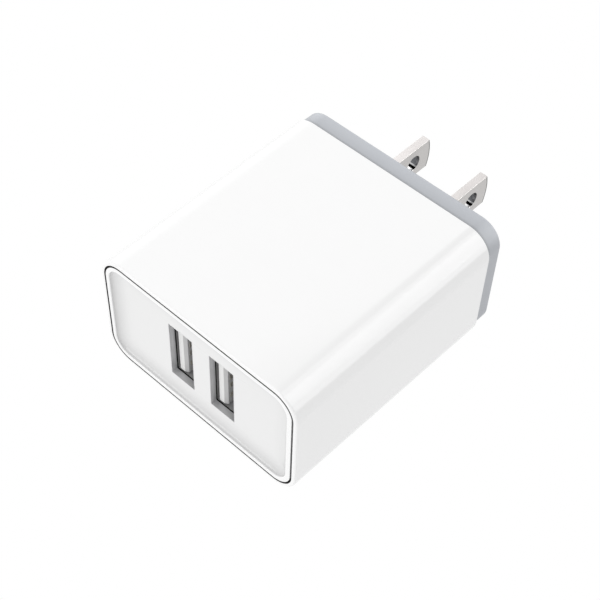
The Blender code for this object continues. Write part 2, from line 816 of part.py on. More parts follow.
def build_bobbin(centre, bore, former):
    """A former with two flanges, and a pin rail under each flange that stands on the board."""
    length = 2 * FLANGE_SPREAD + FLANGE_THICKNESS
    bobbin = block(
        "transformer_bobbin",
        (length, *former),
        centre,
        "bobbin_black",
    )
    rail_height = MIDDLE + SEAT + RAIL_SIZE[2] / 2
    web_top = centre.z - CORE_THICKNESS / 2 - GAP
    web_low = rail_height
    for sign in (-1, 1):
        flange = block(
            f"bobbin_flange_{sign}",
            (FLANGE_THICKNESS, *FLANGE_SIZE),
            centre + Vector((sign * FLANGE_SPREAD, 0, 0)),
        )
        rail = block(
            f"bobbin_rail_{sign}",
            RAIL_SIZE,
            Vector((centre.x + sign * RAIL_SPREAD, centre.y, rail_height)),
        )
        web = block(
            f"bobbin_web_{sign}",
            (*WEB_SIZE, web_top - web_low),
            Vector((centre.x + sign * WEB_SPREAD, centre.y, (web_top + web_low) / 2)),
        )
        join(bobbin, flange, rail, web)
    for number, spot in enumerate(COMPONENT_LEADS["transformer_bobbin"]):
        join(bobbin, drop_lead(f"bobbin_pin_{number}", spot, SEAT + OVERLAP))
    tunnel = block("bobbin_tunnel", (2 * length, *bore), centre)
    cut(bobbin, tunnel)


def build_capacitor(name, radius, height, finish):
    """An electrolytic can with a rolled edge above its seal, standing on two leads."""
    leads = COMPONENT_LEADS[name]
    middle = [(a + b) / 2 for a, b in zip(*leads)]
    profile = [
        (0, height),
        (radius - CAN_EDGE, height),
        (radius, height - CAN_EDGE),
        (radius, CAN_CRIMP + CAN_EDGE),
        (radius - CAN_EDGE, CAN_CRIMP),
        (radius, CAN_CRIMP - CAN_EDGE),
        (radius, CAN_EDGE),
        (radius - CAN_EDGE, 0),
        (0, 0),
    ]
    can = turned(name, profile, place(*middle, SEAT), finish)
    for number, spot in enumerate(leads):
        join(can, drop_lead(f"{name}_lead_{number}", spot, SEAT + OVERLAP))


def build_axial(name, radius, length):
    """An axial body standing on end: one lead straight down, the other bent over and down beside it."""
    near, beside = COMPONENT_LEADS[name]
    seat = SEAT + AXIAL_LIFT
    edge = 0.3 * radius
    profile = [
        (0, length),
        (radius - edge, length),
        (radius, length - edge),
        (radius, edge),
        (radius - edge, 0),
        (0, 0),
    ]
    body = turned(name, profile, place(*near, seat), "resistor_green", steps=12)
    join(body, drop_lead(f"{name}_lead_0", near, seat + OVERLAP))
    top = seat + length
    crest = top + AXIAL_CREST
    bend = [
        place(*near, top - OVERLAP),
        place(*near, crest),
        place(*beside, crest),
        place(*beside, LEAD_END),
    ]
    join(body, wire(f"{name}_lead_1", bend, LEAD_RADIUS))


def build_disc_capacitor():
    """A coated ceramic disc on edge, on two leads that come out of its lower side."""
    near, far = COMPONENT_LEADS["y_capacitor"]
    middle = [(a + b) / 2 for a, b in zip(near, far)]
    height = BOARD_TOP + DISC_RADIUS + DISC_LIFT
    centre = place(*middle, height)
    disc = rod(
        "y_capacitor",
        DISC_RADIUS,
        centre - Vector((DISC_HALF, 0, 0)),
        centre + Vector((DISC_HALF, 0, 0)),
        "X",
        "disc_blue",
        segments=20,
    )
    rounding = disc.modifiers.new("rounding", "BEVEL")
    rounding.width = DISC_ROUND
    rounding.segments = 2
    rounding.limit_method = "ANGLE"
    rounding.angle_limit = radians(60)
    for number, spot in enumerate((near, far)):
        join(disc, drop_lead(f"y_capacitor_lead_{number}", spot, height - DISC_LEAD_TOP))


def build_chip(name, size, spot, legs, leg_pitch, leg_width, turn):
    """A moulded package lying on the board, with flat legs along its two long sides."""
    body_low = SEAT + CHIP_LIFT
    across, depth = spot
    shape = (size[1], size[0]) if turn else (size[0], size[1])
    chip = block(
        name,
        (*shape, size[2]),
        place(across, depth, body_low + size[2] / 2),
        "mould_black",
        axis="Z",
        corner=CHIP_CORNER,
        corner_steps=1,
        ends=((1, CHIP_EDGE, 1),),
    )
    for number in range(legs):
        along = (number - (legs - 1) / 2) * leg_pitch
        reach = size[1] + 2 * LEG_REACH
        bar = (leg_width, reach) if not turn else (reach, leg_width)
        offset = (along, 0) if not turn else (0, along)
        leg = block(
            f"{name}_leg_{number}",
            (*bar, LEG_THICKNESS),
            place(across + offset[0], depth + offset[1], SEAT + LEG_THICKNESS / 2),
        )
        join(chip, leg)


def build_barrier():
    """The sheet that keeps the mains side apart from the 5 V side."""
    high = CAVITY[1] / 2 - 2 * GAP
    block(
        "insulation_barrier",
        (BOARD_WIDTH, BARRIER_THICKNESS, high - SEAT),
        place(0, BARRIER_DEPTH, (SEAT + high) / 2),
        "barrier_white",
        corner=BARRIER_CORNER,
        corner_steps=4,
    )


def build_supply():
    """What stands on the board."""
    for name, (radius, height, finish) in CANS.items():
        build_capacitor(name, radius, height, finish)
    for name, (radius, length) in AXIALS.items():
        build_axial(name, radius, length)
    build_disc_capacitor()
    for name, details in CHIPS.items():
        build_chip(name, *details)


def main():
    build_sleeve()
    build_front_panel()
    build_rear_cap()
    build_blades()
    build_blade_retainer()
    build_contact_springs()
    for side, centre in port_centres().items():
        build_receptacle(side, centre)
    build_board()
    build_transformer()
    build_supply()
    build_barrier()


main()
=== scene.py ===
"""Looks of a two-port USB wall charger lying on its broad face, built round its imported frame.

Frame, in metres: X runs across the body, Y from the port face (-Y) to the blade tips (+Y), Z is up.
Depths are measured back from the port face, and insets inwards from the body's outline.
"""

from math import asin, cos, pi, radians, sin, tan

import bmesh
import bpy
from mathutils import Matrix, Quaternion, Vector
from mathutils.geometry import tessellate_polygon


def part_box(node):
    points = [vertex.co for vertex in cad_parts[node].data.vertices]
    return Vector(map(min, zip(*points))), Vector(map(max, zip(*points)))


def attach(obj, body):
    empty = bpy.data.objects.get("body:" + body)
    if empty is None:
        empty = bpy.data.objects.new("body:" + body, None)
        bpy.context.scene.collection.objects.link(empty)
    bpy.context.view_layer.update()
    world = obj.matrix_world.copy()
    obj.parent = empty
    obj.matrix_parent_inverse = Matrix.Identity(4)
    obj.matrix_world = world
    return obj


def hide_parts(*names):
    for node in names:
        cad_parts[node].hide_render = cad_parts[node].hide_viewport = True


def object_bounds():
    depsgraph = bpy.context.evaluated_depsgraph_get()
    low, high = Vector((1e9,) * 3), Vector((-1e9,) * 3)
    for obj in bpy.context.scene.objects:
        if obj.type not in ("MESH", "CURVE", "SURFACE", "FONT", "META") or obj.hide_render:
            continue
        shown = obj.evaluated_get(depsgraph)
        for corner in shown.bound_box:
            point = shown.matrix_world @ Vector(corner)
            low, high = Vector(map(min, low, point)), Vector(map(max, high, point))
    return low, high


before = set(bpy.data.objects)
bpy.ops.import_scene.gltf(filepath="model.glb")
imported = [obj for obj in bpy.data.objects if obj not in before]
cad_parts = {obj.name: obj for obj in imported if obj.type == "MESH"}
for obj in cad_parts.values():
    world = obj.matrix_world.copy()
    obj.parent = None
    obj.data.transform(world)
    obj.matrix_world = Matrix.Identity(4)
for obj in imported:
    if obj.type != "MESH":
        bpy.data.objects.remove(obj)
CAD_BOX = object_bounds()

MM = 0.001

# Where the frame puts things
SLEEVE_LOW, SLEEVE_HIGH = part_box("housing_sleeve")
CAP_LOW, CAP_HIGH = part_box("rear_cap")
SIDES = ("left", "right")
FRONT = SLEEVE_LOW.y
BODY_MIDDLE = (SLEEVE_LOW + SLEEVE_HIGH) / 2
DRAFT = 0.35 * MM
HALF_WIDTH = (SLEEVE_HIGH.x - SLEEVE_LOW.x) / 2 - DRAFT
HALF_HEIGHT = (SLEEVE_HIGH.z - SLEEVE_LOW.z) / 2 - DRAFT
SLEEVE_LENGTH = SLEEVE_HIGH.y - FRONT
WALL_FACE = CAP_HIGH.y - FRONT
PANEL_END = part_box("front_panel")[1].y - FRONT

# Body
BODY_CORNER = 4.64 * MM
CORNER_STEPS = 20
ROUND_STEPS = 6
SLEEVE_WALL = 1.6 * MM
FRONT_ROUND = 0.35 * MM
REAR_ROUND = 0.08 * MM
RIM_THICKNESS = 0.71 * MM
RIM_ROUND = 0.03 * MM
CLEARANCE = 0.06 * MM

# Front panel
SEAM = 0.34 * MM
PANEL_DEPTH = 2.25 * MM
PANEL_RIM = 0.84 * MM
PANEL_OUTER_ROUND = 0.04 * MM
PANEL_INNER_ROUND = 0.16 * MM
DISH_DEPTH = 1.05 * MM
DISH_SHIFT = (-0.16 * MM, -0.08 * MM)
DISH_COVE = 2.5 * MM
COVE_STEPS = 16
SKIRT_WALL = 1.0 * MM
OPENING_ROUND = 0.04 * MM
OPENING_CORNER = 0.15 * MM

# Rear cap
CAP_STEP = HALF_WIDTH + DRAFT - (CAP_HIGH.x - CAP_LOW.x) / 2
CAP_SEAM = 0.10 * MM
CAP_EDGE = 0.22 * MM
CAP_LIP = 0.08 * MM
CAP_FACE = 1.9 * MM
SPIGOT_WALL = 1.2 * MM
SLOT_ROUND = 0.12 * MM
SLOT_CORNER = 0.2 * MM
ROUND_OVER = ((1, 0), (0.3, 0.3), (0, 1))  # outset and depth of an opening's rounded edge, as shares

# Plug blades
BLADE_EDGE = 0.05 * MM
BLADE_ARC = 10.4 * MM
BLADE_HOLE = 1.6 * MM
BLADE_HOLE_FROM_TIP = 4.38 * MM
BLADE_HOLE_STEPS = 48
BLADE_ARC_STEPS = 16
BLADE_DARK_TIP = (BLADE_ARC - 0.30 * MM, BLADE_ARC - 0.24 * MM)

# USB-A receptacles: pairs are half width and half height, unless said otherwise
OPENING = (2.465 * MM, 6.0 * MM)
BORE = (2.56 * MM, 6.25 * MM)
SHELL_OUTER = (2.86 * MM, 6.55 * MM)
GROOVE = (2.59 * MM, 6.30 * MM)
LIP_THICKNESS = 0.045 * MM
LIP_END = 2.14 * MM
GROOVE_END = 2.46 * MM
TONGUE_WIDTH = 1.62 * MM
TONGUE_BEVEL = (0.62 * MM, 0.35 * MM)  # across, deep
TONGUE_EDGE = 0.03 * MM
TONGUE_GAP = 0.7 * MM
TONGUE_HALF_HEIGHT = 5.55 * MM
BASE_THICKNESS = 1.9 * MM
TAB_DEPTHS = (6.2 * MM, 11.8 * MM)
TAB_HALF = (1.0 * MM, 0.2 * MM)  # across, deep

# Painted shade
SEAM_SHADE = (0.12, 0.12, 0.12)

# Camera and light
CAMERA_AZIMUTH = radians(41.373)
CAMERA_ELEVATION = radians(50.241)
CAMERA_ROLL = radians(2.311)
CAMERA_DISTANCE = 208.238 * MM
CAMERA_LENS = 78.825
CAMERA_AIM = Vector((0.807, -9.230, 11.464)) * MM
LIGHT_AIM = Vector((0, 0, 12)) * MM
ARC_DISTANCE = 0.9
ARC_BACK = radians(28.7)
ARC_DEPTH = 0.6


# ---------------------------------------------------------------- shapes


def outline(half_width, half_height, radius, steps=CORNER_STEPS):
    """Points (across, up) round a rectangle with round corners, from its right side's upper end."""
    points = []
    for turn, (right, up) in enumerate(((1, 1), (-1, 1), (-1, -1), (1, -1))):
        centre = (right * (half_width - radius), up * (half_height - radius))
        for step in range(steps + 1):
            angle = pi / 2 * (turn + step / steps)
            points.append((centre[0] + radius * cos(angle), centre[1] + radius * sin(angle)))
    return points


def draft_at(depth):
    """How much further out the body's sides are at this depth than at the port face."""
    return DRAFT * min(depth / SLEEVE_LENGTH, 1)


def round_edge(inset, depth, radius, start, steps=ROUND_STEPS):
    """Section points (inset, depth) round an edge, a quarter turn from start degrees: 0 inwards, 90 back."""
    angles = [radians(start + 90 * step / steps) for step in range(steps + 1)]
    return [(inset + radius * cos(a), depth + radius * sin(a)) for a in angles]


class Skin:
    """A mesh of rings of points, the walls between them and the flat faces across them."""

    def __init__(self):
        self.bm = bmesh.new()

    def ring(self, points):
        return [self.bm.verts.new(point) for point in points]

    def body_ring(self, inset, depth, shift=(0, 0)):
        """The body's outline at this inset and depth, moved across and up by the shift."""
        half = (HALF_WIDTH + draft_at(depth) - inset, HALF_HEIGHT + draft_at(depth) - inset)
        shape = outline(*half, BODY_CORNER - inset)
        middle = (BODY_MIDDLE.x + shift[0], BODY_MIDDLE.z + shift[1])
        return self.ring((middle[0] + x, FRONT + depth, middle[1] + z) for x, z in shape)

    def port_ring(self, centre, half, radius, depth):
        """A port's outline of this half size and depth, with small corners."""
        shape = outline(*half, radius, steps=3)
        return self.ring((centre.x + x, FRONT + depth, centre.z + z) for x, z in shape)

    def walls(self, rings, closed=False):
        """Faces between one ring and the next."""
        pairs = list(zip(rings, rings[1:]))
        if closed:
            pairs.append((rings[-1], rings[0]))
        for near, far in pairs:
            for i in range(len(near)):
                j = (i + 1) % len(near)
                self.bm.faces.new((near[i], near[j], far[j], far[i]))

    def face(self, *rings):
        """A flat face inside the first ring, with the others as holes in it."""
        loops = [[vert.co / MM for vert in ring] for ring in rings]
        verts = [vert for ring in rings for vert in ring]
        for corners in tessellate_polygon(loops):
            self.bm.faces.new([verts[i] for i in corners])

    def piece(self, name, finish, slot, *nodes, smooth_angle=32):
        return add_piece(name, self.bm, finish, slot, *nodes, smooth_angle=smooth_angle)


def add_piece(name, bm, finish, slot, *nodes, smooth_angle=32):
    """An object from a bmesh, riding on the body in place of the CAD nodes that it stands for."""
    mesh = bpy.data.meshes.new(name)
    bmesh.ops.recalc_face_normals(bm, faces=bm.faces)
    bm.to_mesh(mesh)
    bm.free()
    mesh.shade_smooth()
    mesh.set_sharp_from_angle(angle=radians(smooth_angle))
    mesh.materials.append(finish)
    obj = bpy.data.objects.new(name, mesh)
    bpy.context.scene.collection.objects.link(obj)
    weighting = obj.modifiers.new("weighted_normals", "WEIGHTED_NORMAL")
    weighting.keep_sharp = True
    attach(obj, "root")
    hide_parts(*nodes)
    return obj


def add_box(bm, low, high, edge=0):
    """A box between two corners, with its edges rounded if edge is given."""
    made = bmesh.ops.create_cube(bm, size=1)["verts"]
    size = high - low
    bmesh.ops.scale(bm, vec=size, verts=made)
    bmesh.ops.translate(bm, vec=(low + high) / 2, verts=made)
    if edge:
        round_edges(bm, list({e for v in made for e in v.link_edges}), edge)


def round_edges(bm, edges, radius):
    bmesh.ops.bevel(bm, geom=edges, offset=radius, segments=2, affect="EDGES", profile=0.5)


def add_prism(bm, shape, low, high, edge):
    """An outline (x, y) pulled up from one height to another, with its edges rounded."""
    rings = [[bm.verts.new((x, y, level)) for x, y in shape] for level in (low, high)]
    faces = [bm.faces.new(rings[0]), bm.faces.new(rings[1])]
    count = len(shape)
    for i in range(count):
        j = (i + 1) % count
        faces.append(bm.faces.new((rings[0][i], rings[0][j], rings[1][j], rings[1][i])))
    round_edges(bm, list({e for f in faces for e in f.edges}), edge)


# ---------------------------------------------------------------- materials


class Finish:
    """A node material, and the textures that vary it over the surface."""

    def __init__(self, name, roughness, metallic=0.0):
        self.material = bpy.data.materials.new(name)
        self.material.use_nodes = True
        self.tree = self.material.node_tree
        self.shader = self.tree.nodes["Principled BSDF"]
        self.set("Roughness", roughness)
        self.set("Metallic", metallic)
        self.place = self.node("ShaderNodeTexCoord").outputs["Object"]

    def node(self, kind, inputs=None, **settings):
        """A node with its settings, and its inputs as values or as links."""
        made = self.tree.nodes.new(kind)
        for key, value in settings.items():
            setattr(made, key, value)
        for key, value in (inputs or {}).items():
            if isinstance(value, bpy.types.NodeSocket):
                self.tree.links.new(value, made.inputs[key])
            else:
                made.inputs[key].default_value = value
        return made

    def set(self, socket, value):
        """A shader socket, from a value or a link."""
        if isinstance(value, bpy.types.NodeSocket):
            self.tree.links.new(value, self.shader.inputs[socket])
        else:
            self.shader.inputs[socket].default_value = value

    def stretched(self, scale):
        """Object coordinates, with each axis scaled."""
        return self.node("ShaderNodeMapping", {"Vector": self.place, "Scale": scale}).outputs[0]

    def noise(self, grain, detail=3, stretch=(1, 1, 1)):
        """Soft noise whose features are about this many metres across."""
        scaled = self.stretched(stretch)
        inputs = {"Vector": scaled, "Scale": 1 / grain, "Detail": detail}
        return self.node("ShaderNodeTexNoise", inputs).outputs[0]

    def cells(self, grain):
        """Distance from the nearest of many scattered points, about this many metres apart."""
        inputs = {"Vector": self.place, "Scale": 1 / grain}
        return self.node("ShaderNodeTexVoronoi", inputs).outputs["Distance"]

    def bands(self, pitch, direction, distortion=0.0):
        """Waves of this pitch along an axis."""
        inputs = {"Vector": self.place, "Scale": pi / 10 / pitch, "Distortion": distortion}
        made = self.node("ShaderNodeTexWave", inputs, bands_direction=direction)
        return made.outputs["Fac"]

    def span(self, value, low, high, source=(0.0, 1.0)):
        """A value mapped from the source range to low..high."""
        inputs = {"Value": value, "From Min": source[0], "From Max": source[1], "To Min": low, "To Max": high}
        return self.node("ShaderNodeMapRange", inputs).outputs[0]

    def along(self, axis, low, high):
        """0 below low to 1 above high, in metres along an axis."""
        split = self.node("ShaderNodeSeparateXYZ", {"Vector": self.place})
        return self.span(split.outputs[axis], 0.0, 1.0, (low, high))

    def inset(self, shift=(0, 0)):
        """Distance inwards from the body's outline at the port face, in metres, moved by the shift."""
        split = self.node("ShaderNodeSeparateXYZ", {"Vector": self.place})
        beyond = []
        for axis, half, moved in ((0, HALF_WIDTH, shift[0]), (2, HALF_HEIGHT, shift[1])):
            middle = BODY_MIDDLE[axis] + moved
            off = self.maths("ABSOLUTE", self.maths("SUBTRACT", split.outputs[axis], middle))
            beyond.append(self.maths("SUBTRACT", off, half - BODY_CORNER))
        squares = [self.maths("POWER", self.maths("MAXIMUM", value, 0.0), 2.0) for value in beyond]
        outside = self.maths("SQRT", self.maths("ADD", *squares))
        inside = self.maths("MINIMUM", self.maths("MAXIMUM", *beyond), 0.0)
        return self.maths("SUBTRACT", BODY_CORNER, self.maths("ADD", outside, inside))

    def away_from(self, y, z):
        """Distance in metres from an axis that runs across the body."""
        split = self.node("ShaderNodeSeparateXYZ", {"Vector": self.place})
        offsets = [self.maths("SUBTRACT", split.outputs[axis], at) for axis, at in ((1, y), (2, z))]
        squares = [self.maths("POWER", offset, 2.0) for offset in offsets]
        return self.maths("SQRT", self.maths("ADD", *squares))

    def turn_round(self, y, z):
        """Angle about an axis that runs across the body, in radians up from the direction of the tips."""
        split = self.node("ShaderNodeSeparateXYZ", {"Vector": self.place})
        back = self.maths("SUBTRACT", split.outputs[1], y)
        up = self.maths("SUBTRACT", split.outputs[2], z)
        return self.maths("ARCTAN2", up, back)

    def facing(self, axis, low, high):
        """0 to 1 as the surface's direction along an axis goes from low to high."""
        normal = self.node("ShaderNodeNewGeometry").outputs["True Normal"]
        split = self.node("ShaderNodeSeparateXYZ", {"Vector": normal})
        return self.span(split.outputs[axis], 0.0, 1.0, (low, high))

    def openness(self, reach):
        """1 on an open surface, falling to 0 deep in a gap or a corner narrower than reach."""
        made = self.node("ShaderNodeAmbientOcclusion", {"Distance": reach}, samples=8)
        return made.outputs["AO"]

    def maths(self, operation, *values):
        made = self.node("ShaderNodeMath", operation=operation)
        for i, value in enumerate(values):
            if isinstance(value, bpy.types.NodeSocket):
                self.tree.links.new(value, made.inputs[i])
            else:
                made.inputs[i].default_value = value
        return made.outputs[0]

    def blend(self, factor, first, second):
        """One colour where factor is 0, the other where it is 1."""
        made = self.node("ShaderNodeMix", data_type="RGBA")
        for index, value in ((0, factor), (6, first), (7, second)):
            if isinstance(value, bpy.types.NodeSocket):
                self.tree.links.new(value, made.inputs[index])
            elif index:
                made.inputs[index].default_value = (*value, 1)
            else:
                made.inputs[index].default_value = value
        return made.outputs[2]

    def bump(self, height, distance):
        """Raises the surface by up to distance metres where height is 1, on top of any bump before."""
        inputs = {"Height": height, "Distance": distance, "Strength": 1.0}
        before = self.shader.inputs["Normal"].links
        if before:
            inputs["Normal"] = before[0].from_socket
        made = self.node("ShaderNodeBump", inputs)
        self.set("Normal", made.outputs[0])


def moulded(name, colour, roughness, grain, relief, tint=0.012):
    """Moulded plastic: a faint mottle, uneven gloss and a fine surface texture."""
    finish = Finish(name, roughness)
    darker = tuple(max(0.0, c * (1 - tint)) for c in colour)
    finish.set("Base Color", finish.blend(finish.noise(6 * MM), colour, darker))
    finish.set("Roughness", finish.span(finish.noise(2.2 * MM), roughness * 0.9, roughness * 1.1, (0.3, 0.7)))
    finish.bump(finish.noise(grain, 4), relief)
    return finish


def sheet_metal(name, colour, roughness, stretch, relief=0.4e-6, tint=0.08):
    """Drawn or stamped metal, with fine lines along its rolling direction."""
    finish = Finish(name, roughness, 1.0)
    lines = finish.noise(0.10 * MM, 3, stretch)
    patches = finish.noise(3 * MM, 2)
    dull = tuple(c * (1 - tint) for c in colour)
    finish.set("Base Color", finish.blend(finish.span(patches, 0, 1, (0.35, 0.65)), colour, dull))
    finish.set("Roughness", finish.span(lines, roughness * 0.75, roughness * 1.3, (0.3, 0.7)))
    finish.bump(lines, relief)
    return finish


def shade_gaps(finish, reach, tone, span):
    """Painted shade: a darker tone where a gap between pieces is narrower than about this reach."""
    clean = finish.shader.inputs["Base Color"].links[0].from_socket
    gap_shade = finish.span(finish.openness(reach), 0.0, 1.0, span)
    finish.set("Base Color", finish.blend(gap_shade, tone, clean))


def paint_seam_shade(finish, side_tone=SEAM_SHADE):
    """Painted shade: a dark tone on the seam's walls, for the shade deep in the gap; side_tone is the painted
    shade for walls that face towards +X.
    """
    clean = finish.shader.inputs["Base Color"].links[0].from_socket
    inset = finish.inset()
    tiny = 0.02 * MM
    beyond_sleeve = finish.maths("GREATER_THAN", inset, RIM_THICKNESS - tiny)
    before_panel = finish.maths("LESS_THAN", inset, RIM_THICKNESS + SEAM + tiny)
    below_edge = finish.along(1, FRONT + 0.01 * MM, FRONT + 0.03 * MM)
    between = finish.maths("MULTIPLY", beyond_sleeve, before_panel)
    seam = finish.maths("MULTIPLY", between, below_edge)
    tone = finish.blend(finish.facing(0, 0.6, 0.95), SEAM_SHADE, side_tone)
    finish.set("Base Color", finish.blend(seam, clean, tone))


def sleeve_finish():
    finish = moulded("sleeve_white", (0.895, 0.895, 0.895), 0.10, 1.4 * MM, 0.3e-6)
    # Painted shade on the seam's walls.
    paint_seam_shade(finish)
    return finish.material


def panel_finish():
    """Polished rim, and a dish with painted shade that deepens towards the foot of the rim, for the shade in
    the recess.
    """
    finish = moulded("panel_white", (0.90, 0.90, 0.90), 0.14, 1.1 * MM, 0.3e-6)
    rim = finish.shader.inputs["Base Color"].links[0].from_socket
    in_dish = finish.along(1, FRONT + 0.05 * MM, FRONT + 0.25 * MM)
    edge = RIM_THICKNESS + SEAM + PANEL_RIM
    # Painted shade over the whole dish, darkest at the foot of the rim.
    towards_rim = finish.span(finish.inset(DISH_SHIFT), 1.0, 0.0, (edge, edge + 3.8 * MM))
    shade = finish.maths("POWER", towards_rim, 2.0)
    dish = finish.blend(shade, (0.785, 0.785, 0.785), (0.655, 0.655, 0.655))
    finish.set("Base Color", finish.blend(in_dish, rim, dish))
    # Painted shade on the seam's walls, lighter on walls that face towards +X.
    paint_seam_shade(finish, (0.5, 0.5, 0.5))
    return finish.material


def cap_finish():
    """Fine satin grey, with painted shade: darker in the corner where it meets the sleeve, towards it, and on
    its sides.
    """
    finish = moulded("cap_grey", (0.505, 0.525, 0.560), 0.45, 0.12 * MM, 1.5e-6, tint=0.03)
    clean = finish.shader.inputs["Base Color"].links[0].from_socket
    foot = FRONT + SLEEVE_LENGTH
    # Painted shade: darker towards the foot, where the cap meets the sleeve.
    towards_rear = finish.along(1, foot, foot + 3.2 * MM)
    tone = finish.blend(towards_rear, (0.42, 0.436, 0.465), clean)
    # Painted shade: the left and right sides a shade darker than the top.
    side = finish.facing(0, 0.8, 1.0)
    finish.set("Base Color", finish.blend(finish.maths("MULTIPLY", side, 0.8), tone, (0.40, 0.415, 0.443)))
    # Painted shade in the narrow corner at the sleeve.
    shade_gaps(finish, 0.9 * MM, (0.08, 0.085, 0.09), (0.66, 0.96))
    return finish.material


def blade_finish(hole, arc):
    """Satin nickel, with painted light: a painted highlight on the top edges, painted shade on the edge round
    the tip, and painted reflections and shade as bands in the hole.
    """
    finish = Finish("blade_nickel", 0.36, 1.0)
    patches = finish.noise(3 * MM, 2, (1, 0.5, 1))
    finish.set("Roughness", finish.span(patches, 0.32, 0.40, (0.3, 0.7)))
    finish.bump(finish.noise(0.3 * MM, 2, (1, 0.1, 1)), 0.2e-6)
    plated = finish.blend(patches, (0.53, 0.517, 0.507), (0.50, 0.488, 0.478))
    # Painted shade on a thin edge round the tip.
    near_tip = finish.span(finish.away_from(*arc), 0.0, 1.0, BLADE_DARK_TIP)
    # Painted highlight on the faces that face up.
    on_top = finish.facing(2, 0.6, 0.9)
    tip_shaded = finish.blend(near_tip, plated, (0.16, 0.155, 0.15))
    top_lit = finish.blend(on_top, tip_shaded, (0.64, 0.615, 0.605))
    # Painted reflections and shade on the hole's wall: grey to black round it, with bright and black bands.
    in_hole = finish.maths("LESS_THAN", finish.away_from(*hole), BLADE_HOLE + 0.01 * MM)
    turn = finish.turn_round(*hole)
    hole_shade_and_reflections = finish.blend(finish.span(turn, 0.0, 1.0, (-1.0, 0.5)), (0.34, 0.34, 0.35), (0.12, 0.12, 0.12))
    for below, tone in ((-50, 0.95), (-59, 0.003), (-80, 0.95)):
        hole_shade_and_reflections = finish.blend(finish.maths("LESS_THAN", turn, radians(below)), hole_shade_and_reflections, (tone, tone, tone))
    finish.set("Base Color", finish.blend(in_hole, top_lit, hole_shade_and_reflections))
    return finish.material


def shell_finish():
    """Plated sheet: a brushed lip, the groove behind it painted black as shade, and a dull inside."""
    finish = sheet_metal("shell_steel", (0.66, 0.66, 0.67), 0.45, (1, 1, 0.08))
    sheet = finish.shader.inputs["Base Color"].links[0].from_socket
    tiny = 0.02 * MM
    behind_lip = finish.along(1, FRONT + LIP_END - tiny, FRONT + LIP_END)
    inside = finish.along(1, FRONT + GROOVE_END, FRONT + GROOVE_END + tiny)
    # Painted shade: the groove behind the lip is black.
    dull = finish.blend(inside, (0.004, 0.004, 0.004), (0.62, 0.62, 0.62))
    finish.set("Base Color", finish.blend(behind_lip, sheet, dull))
    finish.set("Metallic", 0.5)
    return finish.material


def tongue_finish():
    """White plastic, with painted shade: greyer on the faces that turn away from the mouth of the port."""
    finish = moulded("tongue_white", (0.88, 0.88, 0.87), 0.42, 0.2 * MM, 1.0e-6)
    clean = finish.shader.inputs["Base Color"].links[0].from_socket
    # Painted shade on the faces turned away from the mouth.
    turned_away_shade = finish.facing(1, -1.02, -0.87)
    finish.set("Base Color", finish.blend(turned_away_shade, clean, (0.53, 0.53, 0.53)))
    return finish.material


def contact_finish():
    """Thin pale gold plating, with fine lines along each strip."""
    return sheet_metal("contact_gold", (0.88, 0.84, 0.74), 0.26, (1, 0.1, 1)).material


def spring_finish():
    return sheet_metal("spring_metal", (0.66, 0.64, 0.60), 0.30, (1, 1, 0.1)).material


def black_moulding_finish():
    return moulded("moulding_black", (0.032, 0.032, 0.034), 0.46, 0.15 * MM, 2.0e-6, tint=0.25).material


def board_finish(mask_low, mask_high):
    """Green solder mask over copper tracks, with the glass cloth showing faintly."""
    finish = Finish("board_green", 0.38)
    tracks = finish.node("ShaderNodeTexBrick", {"Vector": finish.place, "Scale": 1 / (9 * MM)})
    mask = finish.blend(tracks.outputs["Fac"], (0.020, 0.150, 0.065), (0.035, 0.225, 0.095))
    weave = finish.maths("MULTIPLY", finish.bands(0.5 * MM, "X"), finish.bands(0.5 * MM, "Y"))
    edge = finish.blend(finish.noise(0.4 * MM), (0.42, 0.40, 0.22), (0.50, 0.48, 0.28))
    on_face = finish.maths(
        "MAXIMUM",
        finish.along(2, mask_high - 0.08 * MM, mask_high - 0.05 * MM),
        finish.maths("SUBTRACT", 1.0, finish.along(2, mask_low + 0.05 * MM, mask_low + 0.08 * MM)),
    )
    finish.set("Base Color", finish.blend(on_face, edge, mask))
    finish.set("Roughness", finish.span(finish.noise(1 * MM), 0.30, 0.45))
    finish.bump(weave, 4e-6)
    finish.bump(tracks.outputs["Fac"], 12e-6)
    return finish.material


def ferrite_finish():
    """Ground sintered ferrite: dark, grainy, with paler specks."""
    finish = Finish("ferrite", 0.55)
    specks = finish.span(finish.cells(0.25 * MM), 0, 1, (0.0, 0.35))
    finish.set("Base Color", finish.blend(specks, (0.115, 0.115, 0.12), (0.045, 0.045, 0.05)))
    finish.set("Roughness", finish.span(finish.noise(0.5 * MM), 0.42, 0.68))
    finish.bump(finish.noise(0.08 * MM, 5), 6e-6)
    return finish.material


def winding_finish():
    """Enamelled wire laid turn beside turn across the former."""
    finish = Finish("winding_copper", 0.28, 1.0)
    turns = finish.bands(0.28 * MM, "X", 0.4)
    finish.set("Base Color", finish.blend(turns, (0.42, 0.16, 0.07), (0.86, 0.44, 0.22)))
    finish.set("Roughness", finish.span(finish.noise(0.6 * MM), 0.2, 0.36))
    finish.bump(turns, 60e-6)
    return finish.material


def tape_finish():
    """Glossy polyester tape, with the wrap below showing through as lines."""
    finish = Finish("tape_yellow", 0.25)
    wraps = finish.noise(0.7 * MM, 3, (1, 1, 0.2))
    finish.set("Base Color", finish.blend(wraps, (0.78, 0.56, 0.06), (0.90, 0.72, 0.15)))
    finish.set("Roughness", finish.span(wraps, 0.18, 0.34))
    finish.bump(wraps, 15e-6)
    return finish.material


